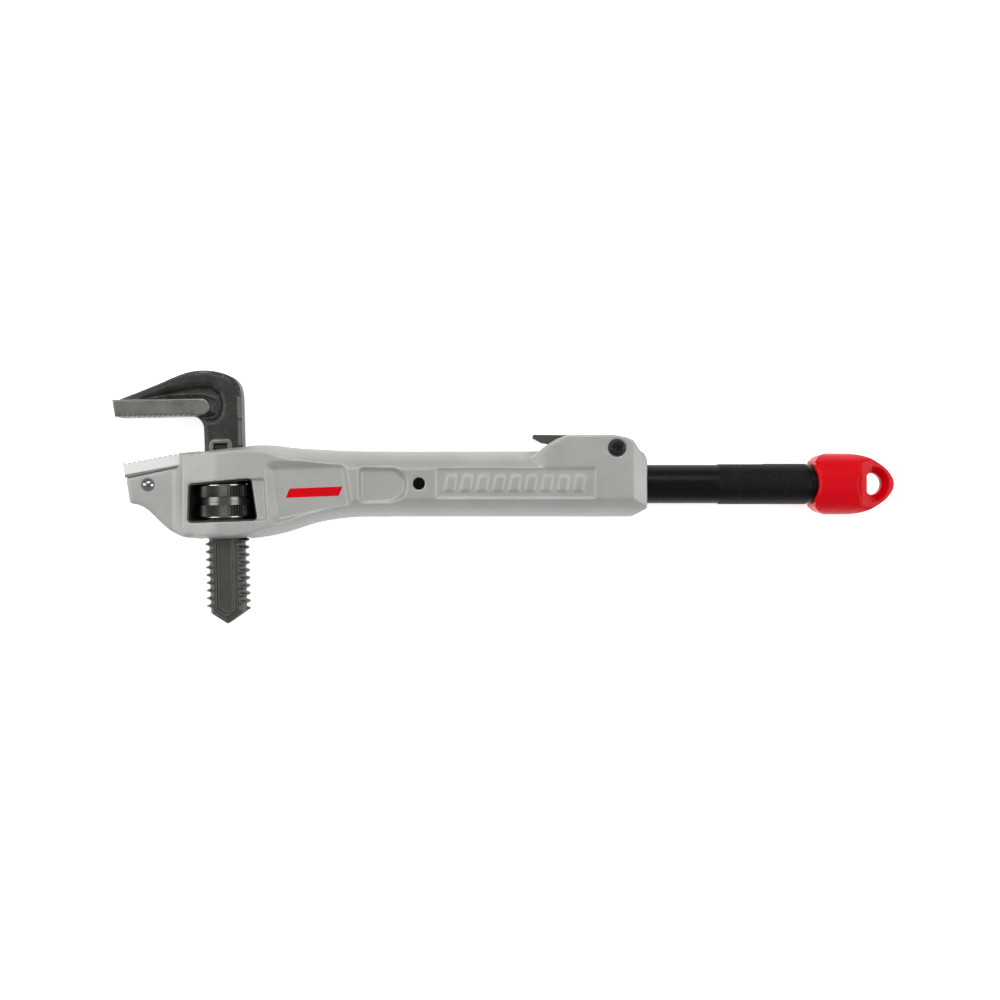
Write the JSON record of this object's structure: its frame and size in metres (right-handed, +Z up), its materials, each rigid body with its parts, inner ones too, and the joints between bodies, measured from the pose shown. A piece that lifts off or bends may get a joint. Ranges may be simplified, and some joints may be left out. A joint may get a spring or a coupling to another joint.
{
  "type": "offset pipe wrench",
  "caption": "Adjustable offset pipe wrench with sliding hook jaw, knurled adjusting nut, latch lever and a telescoping tube handle with a lanyard loop.",
  "frame": {"origin": "point on the bench below the crossing of the handle axis and the hook jaw's shank", "axes": "+X along the handle towards the lanyard loop, +Y towards the hook jaw, +Z up out of the bench"},
  "size_m": [0.4541, 0.1477, 0.0368],
  "materials": {
    "cast_body": "bead blasted casting, clear coated",
    "forged_jaw": "black oxide forging, machined tooth pad",
    "hard_insert": "bright nickel plated",
    "bright_pin": "polished dome",
    "liner_black": "matt black",
    "nut_steel": "dark turned steel, bright neck",
    "spring_steel": "drawn wire and strip",
    "bearing_plastic": "black acetal",
    "black_screw": "black oxide screw",
    "lever_black": "black oxide steel lever",
    "tube_black": "black anodised, knurled grip",
    "cap_red": "glossy red moulding"
  },
  "bodies": {
    "handle": {"handle_body": "cast_body", "heel_jaw": "hard_insert", "heel_jaw_pin": "bright_pin", "window_liner": "liner_black", "float_shoe": "spring_steel", "float_coil_spring": "spring_steel", "float_leaf_spring": "spring_steel", "mouth_bushing": "bearing_plastic", "mouth_snap_ring": "spring_steel", "lever_pivot_screw": "black_screw", "lever_pivot_nut": "black_screw", "lever_spring": "spring_steel"},
    "float": {"thrust_washers": "spring_steel"},
    "jaw": {"hook_jaw": "forged_jaw"},
    "nut": {"knurled_nut": "nut_steel"},
    "tube": {"extension_tube": "tube_black", "tube_glide": "bearing_plastic", "end_cap": "cap_red", "cap_pin": "spring_steel"},
    "lever": {"release_lever": "lever_black"}
  },
  "joints": [
    {"name": "jaw_rock", "type": "hinge", "parent": "handle", "child": "float", "pos_m": [0, -0.01, 0.018], "axis": [0, 0, 1], "range_deg": [-0.7, 0.7], "stiffness_Nm_per_rad": 2},
    {"name": "jaw_slide", "type": "slide", "parent": "float", "child": "jaw", "axis": [-0.0253, 0.9997, 0], "range_m": [-0.01, 0.042]},
    {"name": "nut_spin", "type": "hinge", "parent": "float", "child": "nut", "pos_m": [0, -0.01, 0.018], "axis": [-0.0253, 0.9997, 0], "range_deg": [-3400, 820]},
    {"name": "tube_slide", "type": "slide", "parent": "handle", "child": "tube", "axis": [1, 0, 0], "range_m": [-0.096, 0]},
    {"name": "lever_pivot", "type": "hinge", "parent": "handle", "child": "lever", "pos_m": [0.2275, 0.0206, 0.018], "axis": [0, 0, -1], "range_deg": [0, 14]}
  ],
  "couplings": [
    {"joint": "nut_spin", "follows": "jaw_slide", "rad_per_m": -1396.3}
  ]
}
